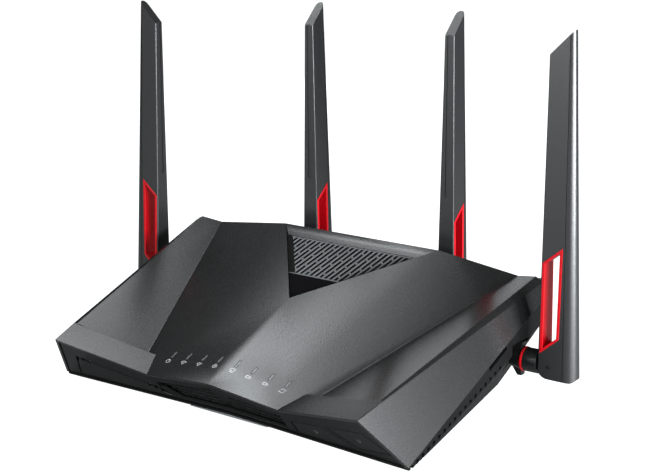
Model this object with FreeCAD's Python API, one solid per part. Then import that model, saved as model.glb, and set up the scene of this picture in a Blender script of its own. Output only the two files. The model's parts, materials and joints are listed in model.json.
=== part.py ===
"""Desktop wireless router: faceted two-shell case, undercut front with a port flap and two buttons,
and four antennas that spin, swivel and tilt.  Millimetres, +Z up, front towards -Y.
Case coordinates measure Y back from the centre of the front lip and Z up from the table; every
finished shape is moved back by ORIGIN_Y, which puts the origin under the middle of the whole router."""
import FreeCAD, Part
import math
import os

V = FreeCAD.Vector

# ---- Driving dimensions -------------------------------------------------------------------------
ORIGIN_Y = 103.0       # from the front lip to the middle of the router's overall depth
WALL = 2.2             # skin of both shells
FIT = 0.3              # gap between neighbouring mouldings
BIG = 400.0            # longer than the router, for trimming blocks

CASE_BACK = 172.0      # rear face of the case
CASE_FLOOR = 2.6       # underside of the case, held off the table by the feet
RIDGE_Z = 32.4         # height of the centre ridge above the front lip line
RIDGE_RISE = 0.395     # climb of the centre ridge towards the back
CENTRE_FALL = 0.125    # fall of the centre facets away from the ridge
LIP_BEND = (54.3, 0.0)         # where the front lip turns from centre facet to band
BAND_IN = (63.3, 19.3)         # rear inner corner of the front band
BAND_OUT = (125.0, 7.4)        # rear outer corner of the front band
CORNER = (124.1, -16.1, 40.0)  # front outer corner of the band
VALLEY = (70.5, 17.9, 30.2)    # front end of the valley beside the centre facet
VALLEY_END = (122.8, 154.5)    # rear end of the valley
RIDGE_END = (149.3, 166.5, 88.0)   # rear end of the outer ridge

UNDERCUT_X = -0.046    # front face: step forward per millimetre outwards
UNDERCUT_Z = -0.793    # front face: step forward per millimetre upwards
LIP_Z = 25.4           # height at which the front face passes the lip bend

SIDE_X, SIDE_PER_Y, SIDE_PER_Z = 141.9, 0.232, -0.354   # big outer facet
PART_Z, PART_RISE = -0.8, 0.455                         # joint line between cover and bottom shell
WALL_X, WALL_PER_Y = 141.3, 0.066                       # side wall of the bottom shell
HEM_X, HEM_Z, HEM_RISE, HEM_SLOPE = 141.3, -3.3, 0.256, 1.6   # lower edge of the side wall

VENT_APEX = 86.7       # front tip of the V-shaped vent
VENT_HALF = 67.1       # half-width of the vent at the back
VENT_Z, VENT_RISE = 39.3, 0.29        # plane of the vent grille
VENT_SLATS = 15        # ribs each side of the middle
RIB_PITCH = 4.2
RIB_TURN = 84.5        # ribs run back and slightly to the right
GAP_LONG, GAP_STEP, GAP_HALF = 16.4, 19.0, 1.15   # gaps between ribs: length, repeat, half-width
GAP_SLANT, GAP_STAGGER = 2.3, 6.3      # slant of a gap's ends, and its shift from rib to rib
MESH_INSET = 5.2       # dark margin between the vent's sides and its ribs
BADGE_BACK = 117.0     # rear edge of the dark panel in the vent's tip

TEETH = 18             # notches along the lower edge of the side wall
TOOTH_PITCH, TOOTH_GAP, TOOTH_FIRST = 5.7, 2.6, 16.0
WALL_SLOT_AT, WALL_SLOT_HALF = (111.0, 46.4), (11.0, 2.2)   # slanted slot under the joint line
LIGHTS_X = (-47.7, -34.3, -20.8, -7.3, 7.3, 20.8, 34.3, 47.7)
LIGHTS_Y, LIGHT_HALF = 20.8, (0.6, 2.7)   # depth of the row, and half-sizes of one light

ANT_SIDE_Y, ANT_BACK_X, ANT_Z = 142.0, 60.0, 38.0
SEAT_SIDE, SEAT_BACK = 141.0, 171.0     # face that each antenna connector stands on
PIN_OUT = 31.0         # from that face to the antenna's tilt pin
BLADE_TOP = 217.0      # tip of the blade above the tilt pin
BLADE_LOW = 8.2        # rounded foot below the pin
TOE_X, TOE_R = 15.0, 4.0               # rounded outer corner of the foot
SEAM = [(10.5, -12.0), (11.0, -12.0), (3.9, 222.0), (3.4, 222.0)]   # line before the rounded half
SEAM_DEEP, GROOVE_DEEP = 0.4, 0.7
TONGUE_T = 6.0         # tongue of the barrel, inside the blade's fork

BOARD_Z, BOARD_T, BOARD_FRONT = 10.0, 1.6, 23.0


# ---- Small geometry helpers ---------------------------------------------------------------------
def block(x0, x1, y0, y1, z0, z1):
    return Part.makeBox(x1 - x0, y1 - y0, z1 - z0, V(x0, y0, z0))


def rod(radius, length, start, direction):
    return Part.makeCylinder(radius, length, start, direction)


def mirror_x(shape):
    return shape.mirror(V(0, 0, 0), V(1, 0, 0))


def both_sides(half):
    return half.fuse(mirror_x(half)).removeSplitter()


def fuse_all(shapes):
    first, rest = shapes[0], shapes[1:]
    return first.fuse(rest).removeSplitter() if rest else first


def trim(shape, point, outward):
    """Cut away everything beyond the plane through point, on the side that outward points to."""
    tool = Part.makeBox(BIG, BIG, BIG, V(-BIG / 2, -BIG / 2, 0))
    tool.Placement = FreeCAD.Placement(point, FreeCAD.Rotation(V(0, 0, 1), outward))
    return shape.cut(tool)


def prism(points, direction):
    face = Part.Face(Part.makePolygon(points + [points[0]]))
    return face.extrude(direction)


def plane_through(p, q, r):
    """Height function of the plane through three points."""
    normal = (q - p).cross(r - p)
    return lambda x, y: p.z - (normal.x * (x - p.x) + normal.y * (y - p.y)) / normal.z


# ---- The faceted roof ---------------------------------------------------------------------------
def centre_z(x, y):
    return RIDGE_Z - CENTRE_FALL * x + RIDGE_RISE * y


def on(height, xy):
    return V(xy[0], xy[1], height(xy[0], xy[1]))


LIP = on(centre_z, LIP_BEND)
BAND_CORNER = on(centre_z, BAND_IN)
band_z = plane_through(LIP, V(*CORNER), BAND_CORNER)
SHOULDER = on(band_z, BAND_OUT)
VALLEY_TOP = on(centre_z, VALLEY_END)
side_z = plane_through(VALLEY_TOP, SHOULDER, V(*RIDGE_END))
inner_side_z = plane_through(VALLEY_TOP, SHOULDER, V(*VALLEY))
step_z = plane_through(VALLEY_TOP, BAND_CORNER, V(*VALLEY))


def ahead(p, q, y):
    """Plan point at depth y on the line through plan points p and q."""
    return (p[0] + (q[0] - p[0]) * (y - p[1]) / (q[1] - p[1]), y)


def facet(height, outline, drop):
    return prism([on(height, p) - V(0, 0, drop) for p in outline], V(0, 0, -BIG))


def roof_half(drop):
    """Everything under the right half of the roof, lowered by drop."""
    front, back, out = -60.0, 200.0, 190.0
    crease = (CENTRE_FALL, RIDGE_RISE)
    fall = side_z(1, 0) - side_z(0, 0), side_z(0, 1) - side_z(0, 0)
    run = (crease[1] - fall[1]) / (crease[0] + fall[0])
    crest = (VALLEY_END[0] + run * (back - VALLEY_END[1]), back)
    lip_front = ahead(LIP_BEND, BAND_IN, front)
    shoulder_run = (BAND_OUT[1] - BAND_IN[1]) / (BAND_OUT[0] - BAND_IN[0])
    far_out = (out, BAND_OUT[1] + shoulder_run * (out - BAND_OUT[0]))
    valley = VALLEY[:2]
    return fuse_all([
        facet(centre_z, [(0, front), lip_front, BAND_IN, VALLEY_END, crest, (0, back)], drop),
        facet(step_z, [BAND_IN, valley, VALLEY_END], drop),
        facet(inner_side_z, [valley, BAND_OUT, VALLEY_END], drop),
        facet(side_z, [BAND_OUT, far_out, (out, back), crest, VALLEY_END], drop),
        facet(band_z, [lip_front, (out, front), far_out, BAND_OUT, BAND_IN], drop),
    ])


# ---- Planes that bound the case: a point on each and its outward normal ----------------------------
FRONT_N = V(UNDERCUT_X, -1, UNDERCUT_Z).normalize()
FRONT_P = V(LIP_BEND[0], 0, LIP_Z)
OUTER_N = V(1, -SIDE_PER_Y, -SIDE_PER_Z).normalize()
OUTER_P = V(SIDE_X, 0, 0)
WALL_N = V(1, -WALL_PER_Y, 0).normalize()
WALL_P = V(WALL_X, 0, 0)
HEM_N = V(HEM_SLOPE, HEM_RISE, -1).normalize()
HEM_P = V(HEM_X, 0, HEM_Z)
BACK_N = V(0, 1, 0)
BACK_P = V(0, CASE_BACK, 0)
REAR_CORNER_N = V(0.3, 1, 0).normalize()
REAR_CORNER_P = V(131.0, CASE_BACK, 0)
PART_N = V(0, -PART_RISE, 1).normalize()
PART_P = V(0, 0, PART_Z)


BAR_N = V(0, -0.76, 1).normalize()
BAR_P = V(0, CASE_BACK, 92.0)


def front_y(x, z):
    """Depth of the undercut front face at a place."""
    return UNDERCUT_X * (x - LIP_BEND[0]) + UNDERCUT_Z * (z - LIP_Z)


def inset(shape, point, normal, depth):
    return trim(shape, point - normal * depth, normal)


def half_space():
    return block(0, 200, -60, 200, 0, 130)


def cover_half(skin, front):
    """Right half of the volume inside the cover's outer skin, shrunk by skin."""
    body = roof_half(skin * 1.1).common(half_space())
    body = inset(body, OUTER_P, OUTER_N, skin)
    body = inset(body, FRONT_P, FRONT_N, front)
    if skin == 0:
        body = inset(body, BACK_P, BACK_N, 0)
        body = inset(body, REAR_CORNER_P, REAR_CORNER_N, 0)
    return body


def tray_half(skin):
    """Right half of the volume inside the bottom shell's outer skin, shrunk by skin."""
    body = block(0, 200, -60, 200, CASE_FLOOR + skin, 130)
    body = inset(body, WALL_P, WALL_N, skin)
    body = inset(body, HEM_P, HEM_N, skin)
    return body.cut(antenna_pocket(skin))


def antenna_pocket(skin):
    """Notch in the lower side wall that holds the side antenna's connector."""
    return block(SEAT_SIDE - skin, 200, ANT_SIDE_Y - 13.5 - skin, ANT_SIDE_Y + 13.5 + skin,
                 0, ANT_Z + 12.5 + skin)


def interior_half(gap):
    """Right half of the space inside both shells, less a gap all round."""
    inside = cover_half(WALL + gap, 0).common(tray_half(WALL + gap))
    return inside


# ---- Shells -------------------------------------------------------------------------------------
def vent_z(y):
    return VENT_Z + VENT_RISE * y


def vent_plan(margin, z0, z1):
    """Upright triangular prism of the vent, shrunk by margin on its two slanted sides."""
    slope = (CASE_BACK - VENT_APEX) / VENT_HALF
    tip = VENT_APEX + margin * math.hypot(1, slope)
    back = 163.5
    half = (back - tip) / slope
    return prism([V(0, tip, z0), V(half, back, z0), V(-half, back, z0)], V(0, 0, z1 - z0))


def vent_slab(low, high, margin):
    """The part of the vent between two depths below its grille plane."""
    slab = vent_plan(margin, 20, 130)
    slope = V(0, -VENT_RISE, 1).normalize()
    slab = trim(slab, V(0, 0, VENT_Z - low), slope)
    return trim(slab, V(0, 0, VENT_Z - high), slope * -1)


def vent_recess():
    """Shallow V-shaped pocket with a sloping back edge."""
    slope = (CASE_BACK - VENT_APEX) / VENT_HALF
    pocket = prism([V(0, VENT_APEX, 20), V(VENT_HALF + 12 / slope, CASE_BACK + 12, 20),
                    V(-VENT_HALF - 12 / slope, CASE_BACK + 12, 20)], V(0, 0, 110))
    pocket = trim(pocket, V(0, 0, VENT_Z), V(0, VENT_RISE, -1).normalize())
    return trim(pocket, BAR_P, BAR_N * -1)


def vent_back_bar():
    """Sloping bar that closes the vent at the back of the cover."""
    bar = block(-VENT_HALF - 3, VENT_HALF + 3, 160.5, CASE_BACK, 60, 110)
    bar = trim(bar, BAR_P, BAR_N)
    bar = trim(bar, BAR_P - V(0, 0, 3.4), BAR_N * -1)
    return bar.common(both_sides(cover_half(0.2, 0)))


def light_slots(margin, z0, z1):
    slots = []
    half_x, half_y = LIGHT_HALF[0] + margin, LIGHT_HALF[1] + margin
    for x in LIGHTS_X:
        slots.append(block(x - half_x, x + half_x, LIGHTS_Y - half_y, LIGHTS_Y + half_y, z0, z1))
    return slots


def top_cover():
    half = cover_half(0, 0).cut(cover_half(WALL, -20))
    half = trim(half, PART_P, PART_N * -1)
    cover = both_sides(half)
    ledge = vent_slab(1.9, 4.6, -2.5).common(both_sides(cover_half(0.2, 0)))
    cover = cover.fuse([ledge, vent_back_bar()]).cut(vent_recess())
    cover = cover.cut(vent_slab(0.0, 2.0, 0.0))
    cover = cover.cut(vent_slab(1.0, 12.0, 2.2))
    cover = cover.cut(light_slots(0, 20, 60))
    for x, y in case_screw_places():
        base = V(x, y, CASE_FLOOR + 6.3)
        cover = cover.fuse(rod(4.2, 100, base, V(0, 0, 1)).common(both_sides(cover_half(0.6, 0))))
        cover = cover.cut(rod(1.3, 12, base, V(0, 0, 1)))
    return max(cover.removeSplitter().Solids, key=lambda s: s.Volume)


def tray_shell_half():
    skin = tray_half(0).cut(tray_half(WALL))
    skin = inset(skin, FRONT_P, FRONT_N, 0)
    skin = inset(skin, BACK_P, BACK_N, 0.5)
    skin = inset(skin, REAR_CORNER_P, REAR_CORNER_N, 0.5)
    skin = inset(skin, OUTER_P, OUTER_N, 0.6)
    return trim(skin, PART_P - PART_N * 0.6, PART_N)


def wall_slot():
    """Cutter for the slot that runs along under the joint line, ahead of the side antenna."""
    long_half, high_half = WALL_SLOT_HALF
    slot = block(140, 160, -long_half, long_half, -high_half, high_half)
    lean = FreeCAD.Rotation(V(1, 0, 0), math.degrees(math.atan(PART_RISE)))
    slot.Placement = FreeCAD.Placement(V(0, *WALL_SLOT_AT), lean)
    return slot


def bottom_shell():
    half = tray_shell_half()
    for i in range(TEETH):
        y = TOOTH_FIRST + TOOTH_PITCH * i
        x = WALL_X + WALL_PER_Y * y
        z = HEM_Z + HEM_RISE * y + HEM_SLOPE * (x - HEM_X)
        half = half.cut(block(x - 4.5, 160, y, y + TOOTH_GAP, z - 8, z + 2.4))
    half = half.cut(wall_slot())
    half = half.cut(rod(3.3, 30, V(SEAT_SIDE - 15, ANT_SIDE_Y, ANT_Z), V(1, 0, 0)))
    shell = both_sides(half)
    posts = []
    for x, y in screw_places():
        posts.append(rod(4.0, BOARD_Z - CASE_FLOOR, V(x, y, CASE_FLOOR), V(0, 0, 1)))
    for x, y in case_screw_places():
        posts.append(rod(4.5, 6.0, V(x, y, CASE_FLOOR), V(0, 0, 1)))
    shell = shell.fuse(posts).removeSplitter()
    for x, y in screw_places():
        shell = shell.cut(rod(1.25, 5.5, V(x, y, BOARD_Z - 5.5), V(0, 0, 1)))
    for x, y in case_screw_places():
        shell = shell.cut(rod(1.6, 20, V(x, y, CASE_FLOOR - 5), V(0, 0, 1)))
        shell = shell.cut(rod(3.2, 3.1, V(x, y, CASE_FLOOR - 0.1), V(0, 0, 1)))
    for x, y in feet_places():
        shell = shell.cut(rod(7.2, 0.8, V(x, y, CASE_FLOOR - 0.1), V(0, 0, 1)))
    for i in range(-8, 9):
        shell = shell.cut(block(i * 9 - 1.5, i * 9 + 1.5, 62, 108, 0, CASE_FLOOR + WALL + 0.1))
    return shell


def screw_places():
    return [(-92, 48), (92, 48), (-92, 128), (92, 128)]


def case_screw_places():
    return [(-112, 28), (112, 28), (-78, 146), (78, 146)]


def feet_places():
    return [(-86, 30), (86, 30), (-60, 148), (60, 148)]


def vent_mesh():
    """Grille of slanted slats joined by short bridges, like the tracks of a circuit."""
    plate = vent_slab(0.1, 1.7, 0.3)
    plate = trim(plate, V(0, BADGE_BACK + 0.4, 0), V(0, -1, 0))
    cuts = []
    for i in range(-VENT_SLATS, VENT_SLATS + 1):
        for j in range(-3, 4):
            a = j * GAP_STEP + GAP_STAGGER * (i % 3)
            b = a + GAP_LONG - GAP_SLANT
            corners = [(a, -GAP_HALF), (b, -GAP_HALF), (b + GAP_SLANT, GAP_HALF), (a + GAP_SLANT, GAP_HALF)]
            gap = prism([V(x, y, 40) for x, y in corners], V(0, 0, 80))
            gap.rotate(V(0, 0, 0), V(0, 0, 1), RIB_TURN)
            gap.translate(V(i * RIB_PITCH, 138, 0))
            cuts.append(gap)
    window = vent_plan(MESH_INSET, 20, 130)
    window = trim(window, V(0, BADGE_BACK + 2.0, 0), V(0, -1, 0))
    window = trim(window, V(0, 161.0, 0), V(0, 1, 0))
    gaps = Part.makeCompound(cuts).common(window)
    return max(plate.cut(gaps).Solids, key=lambda s: s.Volume)


def badge_panel():
    panel = vent_slab(-0.3, 1.7, 0.3)
    return trim(panel, V(0, BADGE_BACK, 0), V(0, 1, 0))


def status_light_lenses():
    skin = both_sides(cover_half(0, 0)).cut(both_sides(cover_half(3.0, -5)))
    return Part.makeCompound([slot.common(skin) for slot in light_slots(-0.1, 20, 60)])


def light_guide():
    """Clear comb under the lenses that carries the board's lights up to them."""
    bar = block(-50, 50, BOARD_FRONT + 0.3, 27, BOARD_Z + BOARD_T, 19)
    teeth = []
    for x in LIGHTS_X:
        top = centre_z(abs(x), BOARD_FRONT) - 4.0
        teeth.append(block(x - 1.2, x + 1.2, BOARD_FRONT + 0.3, 26, 19, top))
    return fuse_all([bar] + teeth)


# ---- Front: frame, grille, flap and buttons ---------------------------------------------------------
def front_slab(outer, inner):
    """Right half of a plate parallel to the front face, between two depths behind it."""
    slab = inset(half_space(), FRONT_P, FRONT_N, outer)
    return trim(slab, FRONT_P - FRONT_N * inner, FRONT_N * -1)


def front_window(points, margin, outer, inner):
    """Prism through the front face whose outline is given as (x, z) on that face."""
    centre_x = sum(p[0] for p in points) / len(points)
    centre_z_ = sum(p[1] for p in points) / len(points)
    corners = []
    for x, z in points:
        reach = math.hypot(x - centre_x, z - centre_z_)
        scale = 1 - margin / reach * 1.5
        x, z = centre_x + (x - centre_x) * scale, centre_z_ + (z - centre_z_) * scale
        corners.append(V(x, front_y(x, z), z) - FRONT_N * outer)
    face = Part.Face(Part.makePolygon(corners + [corners[0]]))
    return face.extrude(FRONT_N * (outer - inner))


BUTTONS = {"wifi_button": [(59.0, 16.0), (85.0, 20.6), (104.0, 8.4), (59.0, 6.2)],
           "led_button": [(89.5, 21.4), (119.5, 26.6), (134.0, 12.6), (108.0, 8.6)]}
FLAP = [(52.5, 13.0), (118.0, 25.4), (128.5, 6.4), (40.0, 6.4)]
GRILLE = [(-3.0, 25.4), (51.5, 18.2), (51.5, 6.4), (-3.0, 6.4)]


def front_frame():
    plate = interior_half(FIT).common(front_slab(0.8, 3.2))
    grille_opening = front_window(GRILLE, 0, -2, 8)
    flap_surround = mirror_x(front_window(FLAP, -2.0, -4, 10))
    left = mirror_x(plate).cut(mirror_x(front_window(FLAP, 0, -2, 8)))
    left = left.cut(mirror_x(grille_opening).cut(flap_surround))
    right = plate.cut(grille_opening)
    for outline in BUTTONS.values():
        right = right.cut(front_window(outline, 0, -2, 8))
    return left.fuse([right] + flap_hinge_ears()).removeSplitter()


def front_grille():
    """Track-pattern grille behind the middle of the front frame."""
    plate = front_window(GRILLE, -1.2, 3.3, 4.7).common(interior_half(FIT))
    cuts = []
    for row in range(4):
        for k in range(4):
            x = 2.0 + k * 12.6 + row * 1.6
            z = 8.4 + row * 3.4
            hole = front_window([(x, z), (x + 11.0, z), (x + 12.0, z + 1.9), (x + 1.0, z + 1.9)], 0, 1, 8)
            cuts.append(hole)
    window = front_window(GRILLE, 1.5, 1, 8)
    plate = plate.cut(Part.makeCompound(cuts).common(window))
    right = max(plate.Solids, key=lambda s: s.Volume)
    left = mirror_x(right)
    left = left.cut(mirror_x(front_window(FLAP, -3.5, -4, 10)))
    left = max(left.Solids, key=lambda s: s.Volume)
    return right.fuse([left]).removeSplitter()


def front_button(name):
    outline = BUTTONS[name]
    cap = front_window(outline, 0.4, 0.9, 3.0)
    middle_x = sum(p[0] for p in outline) / 4
    middle_z = sum(p[1] for p in outline) / 4
    seat = V(middle_x, front_y(middle_x, middle_z), middle_z) - FRONT_N * 2.9
    return cap.fuse(rod(1.6, 3.2, seat, FRONT_N * -1)).removeSplitter()


def flap_axis():
    """Start, direction and length of the hinge line behind the flap's upper edge."""
    ends = []
    for x, z in (FLAP[0], FLAP[1]):
        z = z - 2.1
        ends.append(V(x, front_y(x, z), z) - FRONT_N * 2.6)
    run = (ends[1] - ends[0]).normalize()
    return V(-ends[0].x, ends[0].y, ends[0].z), V(-run.x, run.y, run.z), (ends[1] - ends[0]).Length


def mirrored_front():
    """Outward normal of the left half of the front face."""
    return V(-FRONT_N.x, FRONT_N.y, FRONT_N.z)


def flap_up():
    """Direction across the flap's face, away from its lower edge."""
    up = (mirrored_front() * -1).cross(flap_axis()[1])
    return up if up.z > 0 else up * -1


def hinge_box(low, high, below, above, depth):
    """Box laid out along the flap's hinge line: low to high along it, below to above across the face."""
    start, run, _ = flap_axis()
    up = flap_up()
    box = block(low, high, below, above, -depth, depth)
    box.Placement = FreeCAD.Placement(start, FreeCAD.Rotation(run, up, run.cross(up), "XYZ"))
    return box


def usb_flap():
    leaf = mirror_x(front_window(FLAP, 0.5, 0.9, 2.9))
    start, run, length = flap_axis()
    leaf = trim(leaf, start, flap_up())
    for low, high in ((-40.0, 0.6), (length - 0.6, length + 40.0)):
        leaf = leaf.cut(hinge_box(low, high, -3.8, 6.0, 8.0))
    flap = leaf.fuse(rod(1.7, length - 2, start + run, run))
    for reach in (3.4, length - 10.4):
        flap = flap.cut(rod(2.3, 7.0, start + run * reach, run))
    return flap.cut(rod(0.85, length + 10, start - run * 5, run)).removeSplitter()


def flap_hinge_pin():
    start, run, length = flap_axis()
    return rod(0.8, length - 10, start + run * 5, run)


def flap_hinge_ears():
    """Two lugs behind the frame, above the flap, that hold its hinge pin."""
    start, run, length = flap_axis()
    up = flap_up()
    turn = FreeCAD.Rotation(run, up, run.cross(up), "XYZ")
    ears = []
    for reach in (5.4, length - 8.4):
        middle = start + run * reach
        ear = rod(1.9, 3.0, middle, run)
        strap = Part.makeBox(3.0, 5.0, 2.4, V(0, 0, -1.2))
        strap.Placement = FreeCAD.Placement(middle, turn)
        ears.append(ear.fuse(strap).cut(rod(0.8, 3.2, middle - run * 0.1, run)))
    return ears


def port_bezel():
    """Plate behind the flap, with a hole for the front USB port."""
    outline = [(62.0, 14.5), (117.0, 24.5), (124.0, 8.0), (62.0, 8.0)]
    plate = mirror_x(front_window(outline, 0, 7.0, 8.2).common(interior_half(FIT)))
    return plate.cut(block(-96.6, -79.4, 5, 40, 10.9, 19.5))


def button_board():
    outline = [(62.0, 17.0), (126.0, 24.0), (126.0, 12.0), (62.0, 8.0)]
    return front_window(outline, 0, 9.2, 10.4).common(interior_half(0.6))


def button_switches():
    switches = []
    for outline in BUTTONS.values():
        x = sum(p[0] for p in outline) / 4
        z = sum(p[1] for p in outline) / 4
        corners = [(x - 3, z - 2), (x + 3, z - 2), (x + 3, z + 2), (x - 3, z + 2)]
        switches.append(front_window(corners, 0, 7.1, 9.2))
    return Part.makeCompound(switches)


# ---- Electronics --------------------------------------------------------------------------------
JACK_Y = 150.0         # front of the rear connectors
LAN_X, LAN_PITCH = -45.0, 14.25
LAN_TALL = 27.0        # height of the double-decked network jack
WAN_X, WAN_HALF, WAN_TALL = 23.5, 8.0, 13.5
RJ_W, RJ_H, RJ_DEEP = 11.8, 7.6, 14.0
REAR_USB_X, POWER_X = -86.5, 89.0


def main_board():
    board = block(-98, 98, BOARD_FRONT, 166, BOARD_Z, BOARD_Z + BOARD_T)
    board = board.common(both_sides(interior_half(1.0)))
    for x, y in screw_places():
        board = board.cut(rod(1.7, 10, V(x, y, BOARD_Z - 5), V(0, 0, 1)))
    for x, y in case_screw_places():
        board = board.cut(rod(5.4, 10, V(x, y, BOARD_Z - 5), V(0, 0, 1)))
    return board.removeSplitter()


def heatsink(x0, x1, y0, y1, base_z, fin_h, fins):
    sink = block(x0, x1, y0, y1, base_z, base_z + 2.5)
    pitch = (x1 - x0) / fins
    parts = [sink]
    for i in range(fins):
        x = x0 + pitch * (i + 0.5)
        parts.append(block(x - 0.6, x + 0.6, y0, y1, base_z + 2.5, base_z + 2.5 + fin_h))
    return fuse_all(parts)


def processor_chips():
    top = BOARD_Z + BOARD_T
    chips = [block(-13, 13, 84, 110, top, top + 2.4), block(34, 56, 86, 108, top, top + 2.4),
             block(-56, -34, 86, 108, top, top + 2.4), block(-20, -8, 64, 78, top, top + 1.2),
             block(6, 18, 64, 78, top, top + 1.2), block(-60, -46, 52, 60, top, top + 1.2)]
    return Part.makeCompound(chips)


def rf_shields():
    top = BOARD_Z + BOARD_T
    cans = []
    for side in (-1, 1):
        x0, x1 = sorted((side * 64, side * 90))
        can = block(x0, x1, 62, 112, top, top + 4.0)
        cans.append(can.cut(block(x0 + 0.4, x1 - 0.4, 62.4, 111.6, top - 1, top + 3.6)))
    return Part.makeCompound(cans)


def board_screws():
    screws = []
    for x, y in screw_places():
        head = rod(2.6, 1.6, V(x, y, BOARD_Z + BOARD_T), V(0, 0, 1))
        shank = rod(1.25, 5.5, V(x, y, BOARD_Z + BOARD_T), V(0, 0, -1))
        recess = block(x - 1.4, x + 1.4, y - 0.35, y + 0.35, BOARD_Z + BOARD_T + 0.9, 20)
        recess = recess.fuse(block(x - 0.35, x + 0.35, y - 1.4, y + 1.4, BOARD_Z + BOARD_T + 0.9, 20))
        screws.append(head.fuse(shank).cut(recess))
    return Part.makeCompound(screws)


def case_screws():
    screws = []
    for x, y in case_screw_places():
        seat = CASE_FLOOR + 3.0
        head = rod(2.8, 1.8, V(x, y, seat - 1.8), V(0, 0, 1))
        shank = rod(1.3, 11.0, V(x, y, seat), V(0, 0, 1))
        recess = block(x - 1.5, x + 1.5, y - 0.4, y + 0.4, seat - 1.9, seat - 0.8)
        recess = recess.fuse(block(x - 0.4, x + 0.4, y - 1.5, y + 1.5, seat - 1.9, seat - 0.8))
        screws.append(head.fuse(shank).cut(recess))
    return Part.makeCompound(screws)


def rubber_feet():
    feet = []
    for x, y in feet_places():
        foot = Part.makeCone(6.4, 7.0, CASE_FLOOR + 0.7, V(x, y, 0), V(0, 0, 1))
        feet.append(foot)
    return Part.makeCompound(feet)


# ---- Rear connectors and buttons ------------------------------------------------------------------
def rj_socket(x, z, flip):
    """Cavity of one network socket, with its latch notch below or above."""
    back = CASE_BACK + 3
    cavity = block(x - RJ_W / 2, x + RJ_W / 2, CASE_BACK - RJ_DEEP, back, z, z + RJ_H)
    low = z - 1.6 if not flip else z + RJ_H
    return cavity.fuse(block(x - 3, x + 3, CASE_BACK - RJ_DEEP, back, low, low + 1.6))


def lan_places():
    lower = BOARD_Z + BOARD_T + 3.4
    upper = BOARD_Z + BOARD_T + 15.6
    places = []
    for i in range(4):
        x = LAN_X + LAN_PITCH * (i + 0.5)
        places.append((x, lower, False))
        places.append((x, upper, True))
    return places


def lan_jacks():
    low = BOARD_Z + BOARD_T
    jack = block(LAN_X, LAN_X + 4 * LAN_PITCH, JACK_Y, CASE_BACK - 0.4, low, low + LAN_TALL)
    return jack.cut([rj_socket(*place) for place in lan_places()])


def wan_jack():
    low = BOARD_Z + BOARD_T
    jack = block(WAN_X - WAN_HALF, WAN_X + WAN_HALF, JACK_Y, CASE_BACK - 0.4, low, low + WAN_TALL)
    return jack.cut(rj_socket(WAN_X, low + 3.4, False))


def usb_socket(x, mouth, tail, z):
    """Steel shell of a USB port with its tongue, opening at mouth."""
    low, high = sorted((mouth, tail))
    shell = block(x - 7.0, x + 7.0, low, high, z, z + 7.0)
    inner_low, inner_high = (low - 1, high - 1.5) if mouth < tail else (low + 1.5, high + 1)
    hollow = block(x - 6.3, x + 6.3, inner_low, inner_high, z + 0.7, z + 6.3)
    tongue_low, tongue_high = (low + 1, high) if mouth < tail else (low, high - 1)
    tongue = block(x - 5.5, x + 5.5, tongue_low, tongue_high, z + 0.7, z + 2.0)
    return shell.cut(hollow).fuse(tongue).removeSplitter()


def front_usb_port():
    return usb_socket(-88, 15.6, 32.0, BOARD_Z + BOARD_T)


def rear_usb_port():
    return usb_socket(REAR_USB_X, CASE_BACK - 0.4, 155.0, BOARD_Z + BOARD_T)


def power_jack():
    x, low = POWER_X, BOARD_Z + BOARD_T
    body = block(x - 5, x + 5, 157, CASE_BACK - 0.4, low, low + 11)
    body = body.cut(rod(3.0, 9.5, V(x, CASE_BACK - 9.0, low + 5.5), V(0, 1, 0)))
    return body.fuse(rod(1.0, 9.5, V(x, CASE_BACK - 10.0, low + 5.5), V(0, 1, 0))).removeSplitter()


REAR_BUTTONS = {"power_button": (77.5, 17.0, 3.6), "wps_button": (39.5, 17.0, 2.8),
                "reset_button": (-74.5, 17.0, 1.4)}   # middle across, middle up, radius


def rear_button(name):
    x, z, half = REAR_BUTTONS[name]
    reach = CASE_BACK + (1.4 if half > 2 else -1.4)
    cap = rod(half, reach - 166.0, V(x, 166.0, z), V(0, 1, 0))
    return cap.fuse(rod(half + 0.9, 1.2, V(x, 165.6, z), V(0, 1, 0))).removeSplitter()


def rear_switches():
    """Switch bodies on the board behind the three rear buttons."""
    low = BOARD_Z + BOARD_T
    return Part.makeCompound([block(x - 3.2, x + 3.2, 157, 163.4, low, z + 3.0)
                              for x, z, half in REAR_BUTTONS.values()])


def panel_hole(x, half, tall):
    """Opening in the rear panel round a connector that stands on the board."""
    low = BOARD_Z + BOARD_T
    return block(x - half - FIT, x + half + FIT, 160, 180, low - FIT, low + tall + FIT)


def rear_panel():
    plate = both_sides(interior_half(FIT))
    plate = plate.common(block(-160, 160, CASE_BACK - 3.2, CASE_BACK - 1.0, 0, 130))
    plate = trim(plate, BAR_P - V(0, 0, 3.9), BAR_N)
    holes = [panel_hole(LAN_X + 2 * LAN_PITCH, 2 * LAN_PITCH, LAN_TALL),
             panel_hole(WAN_X, WAN_HALF, WAN_TALL),
             panel_hole(REAR_USB_X, 7.0, 7.0),
             panel_hole(POWER_X, 5.0, 11.0)]
    for x, z, half in REAR_BUTTONS.values():
        holes.append(rod(half + 0.25, 20, V(x, 160, z), V(0, 1, 0)))
    for side in (-1, 1):
        holes.append(rod(3.3, 20, V(side * ANT_BACK_X, 160, ANT_Z), V(0, 1, 0)))
    for row in range(3):
        for i in range(-10, 11):
            holes.append(block(i * 9 - 3.2, i * 9 + 3.2, 160, 180, 58 + row * 5, 60.4 + row * 5))
    return max(plate.cut(holes).Solids, key=lambda s: s.Volume)


# ---- Antennas: drawn along +X from the seat, then placed -------------------------------------------
def antenna_connector():
    body = rod(3.1, 21.0, V(-12, 0, 0), V(1, 0, 0))
    flange = rod(5.2, 1.4, V(0, 0, 0), V(1, 0, 0))
    return body.fuse([flange]).cut(rod(2.05, 12, V(1, 0, 0), V(1, 0, 0))).removeSplitter()


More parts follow.
